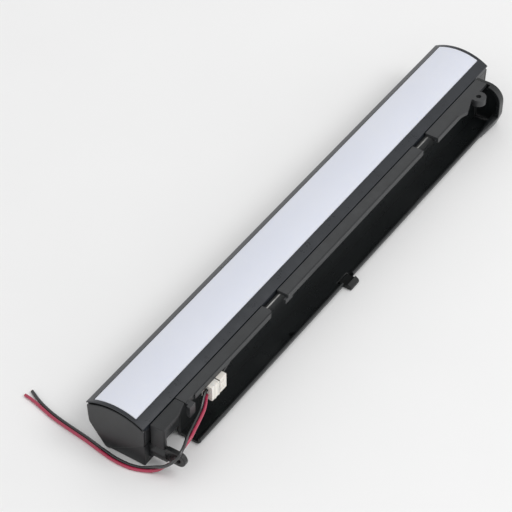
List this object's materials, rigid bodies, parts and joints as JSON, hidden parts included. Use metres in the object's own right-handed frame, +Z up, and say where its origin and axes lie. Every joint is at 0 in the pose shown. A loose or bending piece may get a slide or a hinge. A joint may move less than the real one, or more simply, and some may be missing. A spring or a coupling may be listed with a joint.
{
  "type": "led light bar module",
  "caption": "Slim LED lamp pod with an arched opal lens on a moulded mounting channel, with a two-wire plug-in lead.",
  "frame": {"origin": "centre of the module's footprint, on the surface it lies on, without the lead", "axes": "+X along the bar, away from the lead's end; +Y across, towards the lamp pod's open side; +Z up, the way the lens faces"},
  "size_m": [0.2511, 0.0722, 0.0231],
  "materials": {
    "pod_plastic": "fine satin charcoal moulding",
    "bezel_plastic": "satin blue-grey moulding",
    "opal_lens": "satin opal white",
    "board_white": "white solder mask",
    "tape": "adhesive tape",
    "led_phosphor": "phosphor dome in a white package",
    "resistor_black": "black ceramic chips",
    "wire_red": "red insulation",
    "wire_black": "black insulation",
    "grommet_rubber": "soft black rubber",
    "channel_plastic": "glossy black moulding",
    "bracket_plastic": "satin charcoal moulding",
    "ear_plastic": "glossy black moulding",
    "rail_plastic": "satin grey moulding",
    "screw_steel": "zinc-plated steel",
    "tab_plastic": "satin black moulding",
    "board_green": "green solder mask",
    "connector_white": "ivory nylon",
    "pin_tin": "tin-plated brass",
    "plug_white": "ivory nylon"
  },
  "bodies": {
    "light_module": {"lamp_housing": "pod_plastic", "top_bezel": "bezel_plastic", "diffuser": "opal_lens", "end_cap_near": "pod_plastic", "end_cap_far": "pod_plastic", "led_board": "board_white", "board_tape": "tape", "led_chips": "led_phosphor", "chip_resistors": "resistor_black", "feed_lead_red": "wire_red", "feed_lead_black": "wire_black", "grommet": "grommet_rubber", "mount_channel": "channel_plastic", "near_bracket": "bracket_plastic", "mount_ear": "ear_plastic", "top_rail_near": "rail_plastic", "top_rail_mid": "rail_plastic", "top_rail_far": "rail_plastic", "rail_screws": "screw_steel", "header_board": "board_green", "header_shell": "connector_white", "header_pins": "pin_tin"},
    "lead": {"plug_housing": "plug_white", "plug_terminals": "pin_tin", "wire_red": "wire_red", "wire_black": "wire_black"},
    "latch": {"latch_tab": "tab_plastic"}
  },
  "joints": [
    {"name": "plug_slide", "type": "slide", "parent": "light_module", "child": "lead", "axis": [-1, 0, 0], "range_m": [0, 0.005]},
    {"name": "latch_flex", "type": "hinge", "parent": "light_module", "child": "latch", "pos_m": [0, -0.0135, 0.00115], "axis": [-1, 0, 0], "range_deg": [0, 8], "stiffness_Nm_per_rad": 0.05}
  ]
}
